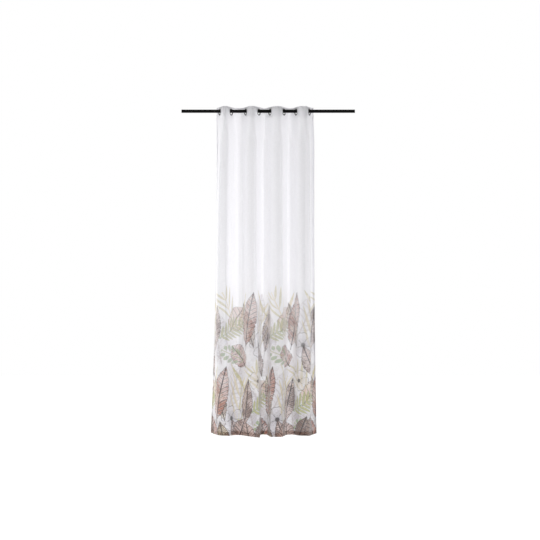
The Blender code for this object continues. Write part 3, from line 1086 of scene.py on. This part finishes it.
class CURTAIN_OT_stitches(bpy.types.Operator):
    """Sews the heading and the hems"""

    bl_idname = "curtain.stitches"
    bl_label = "Sew the Hems"

    def execute(self, context):
        sizes = context.scene.curtain_heading
        cloth_sizes = context.scene.curtain_cloth
        cloth = hanging_cloth()
        lie = sizes.thread_radius * THREAD_LIE
        across = steps_between(STITCH_END_INSET, CLOTH_WIDTH - STITCH_END_INSET, STITCH_LINE_STEP)
        down = steps_between(HEADING_FOOT, HEM_HEIGHT + STITCH_END_INSET, 2 * STITCH_LINE_STEP)
        side = cloth_sizes.side_hem - HEM_STITCH_INSET
        hem = HEM_HEIGHT + cloth_sizes.bottom_hem - HEM_STITCH_INSET
        lines = (  # places across, heights, back of the layers sewn
            (across, TAPE_FOOT + HEM_STITCH_INSET, TAPE_FRONT + sizes.tape_thickness),
            (across, CLOTH_TOP - TOP_STITCH_INSET, TURNOVER_BEHIND),
            (across, hem, HEM_BEHIND),
            (side, down, HEM_BEHIND),
            (CLOTH_WIDTH - side, down, HEM_BEHIND),
        )
        points = np.concatenate(
            [
                stitch_line(cloth, places, heights, behind, sizes)
                for places, heights, back in lines
                for behind in (-lie, back + lie)
            ]
        )
        faces = []
        for number in range(len(points)):
            first = number * points.shape[1]
            faces += [tuple(first + corner for corner in face) for face in STITCH_FACES]
        mesh = bpy.data.meshes.new("hem_stitches")
        mesh.from_pydata(points.reshape(-1, 3).tolist(), [], faces)
        mesh.shade_smooth()
        add_piece("hem_stitches", mesh, material_of("sewing_thread", thread, sizes))
        return {"FINISHED"}


class CURTAIN_OT_rings(bpy.types.Operator):
    """Snaps a ring of two halves into each eyelet"""

    bl_idname = "curtain.rings"
    bl_label = "Fit the Eyelet Rings"

    def execute(self, context):
        sizes = context.scene.curtain_hardware
        deselect()
        turned(FRONT_HALF, sizes.ring_steps)
        bpy.ops.mesh.select_all(action="DESELECT")
        turned(BACK_HALF, sizes.ring_steps)
        bpy.ops.mesh.select_all(action="SELECT")
        bpy.ops.mesh.remove_doubles(threshold=RING_MERGE)
        bpy.ops.mesh.normals_make_consistent(inside=False)
        pattern = finished_mesh(context.object, RING_SMOOTH)
        material = material_of("black_ring_lacquer", lacquer, sizes)
        for number in range(len(EYELETS)):
            mesh = pattern.copy()
            mesh.transform(across_eyelet(number))
            piece = add_piece(f"ring_{number + 1}", mesh, material)
            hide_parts(f"eyelet_{number + 1}")
        return {"FINISHED"}


class CURTAIN_OT_rod(bpy.types.Operator):
    """Makes the tube rod with a plug in each end"""

    bl_idname = "curtain.rod"
    bl_label = "Make the Rod"

    def execute(self, context):
        sizes = context.scene.curtain_hardware
        deselect()
        bpy.ops.mesh.primitive_cylinder_add(
            vertices=sizes.rod_sides,
            radius=ROD_RADIUS,
            depth=ROD_HIGH.x - ROD_LOW.x,
            end_fill_type="NGON",
            rotation=(0.0, math.radians(90), 0.0),
        )
        rod = context.object
        bpy.ops.object.transform_apply()
        for end in (-1, 1):
            edit_faces(rod, lambda face: face.normal.x * end > 0.9)
            bpy.ops.mesh.bevel(offset=sizes.rod_bevel, segments=3, affect="EDGES")
            edit_faces(rod, lambda face: face.normal.x * end > 0.999 and face.center.yz.length < 0.001)
            for thickness, depth in ((sizes.plug_wall, 0.0), *PLUG_STEPS):
                bpy.ops.mesh.inset(thickness=thickness, depth=depth)
        mesh = finished_mesh(rod, ROD_SMOOTH)
        material = material_of("black_powder_paint", powder_paint, sizes)
        piece = add_piece("tube_rod", mesh, material)
        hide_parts("curtain_rod")
        return {"FINISHED"}


LIGHTS = (  # name, azimuth round the curtain from its face, distance, width, height, power
    ("front", 0, 4.0, 2.4, 3.2, 40.0),
    ("left_front", -70, 4.0, 0.7, 3.2, 23.0),
    ("left_near", -100, 2.4, 0.4, 2.6, 12.0),
    ("behind_left", -135, 2.4, 0.4, 2.6, 43.0),
    ("behind_right", 145, 4.0, 0.7, 3.2, 37.0),
)
LIGHT_LEVEL = -1.2


class CURTAIN_OT_studio(bpy.types.Operator):
    """Sets up the pale floor, the soft lights and the camera"""

    bl_idname = "curtain.studio"
    bl_label = "Set Up the Studio"

    def execute(self, context):
        sizes = context.scene.curtain_studio
        deselect()
        foot = HEM_HEIGHT - sizes.floor_gap
        bpy.ops.mesh.primitive_plane_add(size=sizes.floor_size, location=(0.0, 0.0, foot))
        floor = context.object
        floor.name = "studio_floor"
        bpy.ops.object.transform_apply()
        floor.data.materials.append(material_of("studio_paper", paper))
        for name, azimuth, distance, width, height, power in LIGHTS:
            light = bpy.data.lights.new(name, "AREA")
            light.shape = "RECTANGLE"
            light.size = width
            light.size_y = height
            light.energy = power
            turn = math.radians(azimuth)
            lamp = add_to_scene(name, light)
            lamp.visible_camera = False
            lamp.location = (math.sin(turn) * distance, -math.cos(turn) * distance, LIGHT_LEVEL)
            lamp.rotation_euler = (math.radians(90), 0.0, turn)
        overhead = bpy.data.lights.new("overhead", "SUN")
        overhead.energy = sizes.overhead
        overhead.angle = sizes.overhead_spread
        add_to_scene("overhead", overhead)
        self.surround(context.scene)
        camera = add_to_scene("camera", bpy.data.cameras.new("camera"))
        camera.data.lens = sizes.lens
        camera.location = (sizes.camera_x, -sizes.camera_distance, sizes.camera_height)
        camera.rotation_euler = (math.radians(90), 0.0, 0.0)
        context.scene.camera = camera
        context.scene.view_settings.view_transform = "Standard"
        return {"FINISHED"}

    def surround(self, scene):
        """White all round to the eye, which sheds no light."""
        world = bpy.data.worlds.new("studio_surround")
        scene.world = world
        world.use_nodes = True
        output, start = emptied(world.node_tree, "ShaderNodeOutputWorld")
        seen = start.node("ShaderNodeLightPath")
        dark = start.node("ShaderNodeBackground", None, {1: 0.0})
        white = start.node("ShaderNodeBackground", None, {0: WHITE, 1: 1.0})
        world.node_tree.links.new(mixed(start, seen, dark, white).socket, output.inputs["Surface"])


class CURTAIN_PT_sidebar(bpy.types.Panel):
    bl_label = "Sheer Eyelet Curtain"
    bl_idname = "CURTAIN_PT_sidebar"
    bl_space_type = "VIEW_3D"
    bl_region_type = "UI"
    bl_category = "Curtain"

    def draw(self, context):
        for group, _ in GROUPS:
            settings = getattr(context.scene, group)
            box = self.layout.box()
            for name in settings.__annotations__:
                box.prop(settings, name)
        for operator in OPERATORS:
            self.layout.operator(operator.bl_idname)


GROUPS = (
    ("curtain_cloth", ClothSettings),
    ("curtain_print", PrintSettings),
    ("curtain_heading", HeadingSettings),
    ("curtain_hardware", HardwareSettings),
    ("curtain_studio", StudioSettings),
)
OPERATORS = (
    CURTAIN_OT_studio,
    CURTAIN_OT_panel,
    CURTAIN_OT_tape,
    CURTAIN_OT_stitches,
    CURTAIN_OT_rings,
    CURTAIN_OT_rod,
)


def register():
    for name, group in GROUPS:
        bpy.utils.register_class(group)
        setattr(bpy.types.Scene, name, PointerProperty(type=group))
    for operator in OPERATORS:
        bpy.utils.register_class(operator)
    bpy.utils.register_class(CURTAIN_PT_sidebar)


def unregister():
    bpy.utils.unregister_class(CURTAIN_PT_sidebar)
    for operator in reversed(OPERATORS):
        bpy.utils.unregister_class(operator)
    for name, group in reversed(GROUPS):
        delattr(bpy.types.Scene, name)
        bpy.utils.unregister_class(group)


def main():
    register()
    bpy.ops.curtain.studio()
    bpy.ops.curtain.panel()
    bpy.ops.curtain.tape()
    bpy.ops.curtain.stitches()
    bpy.ops.curtain.rings()
    bpy.ops.curtain.rod()


if __name__ == "__main__":
    main()
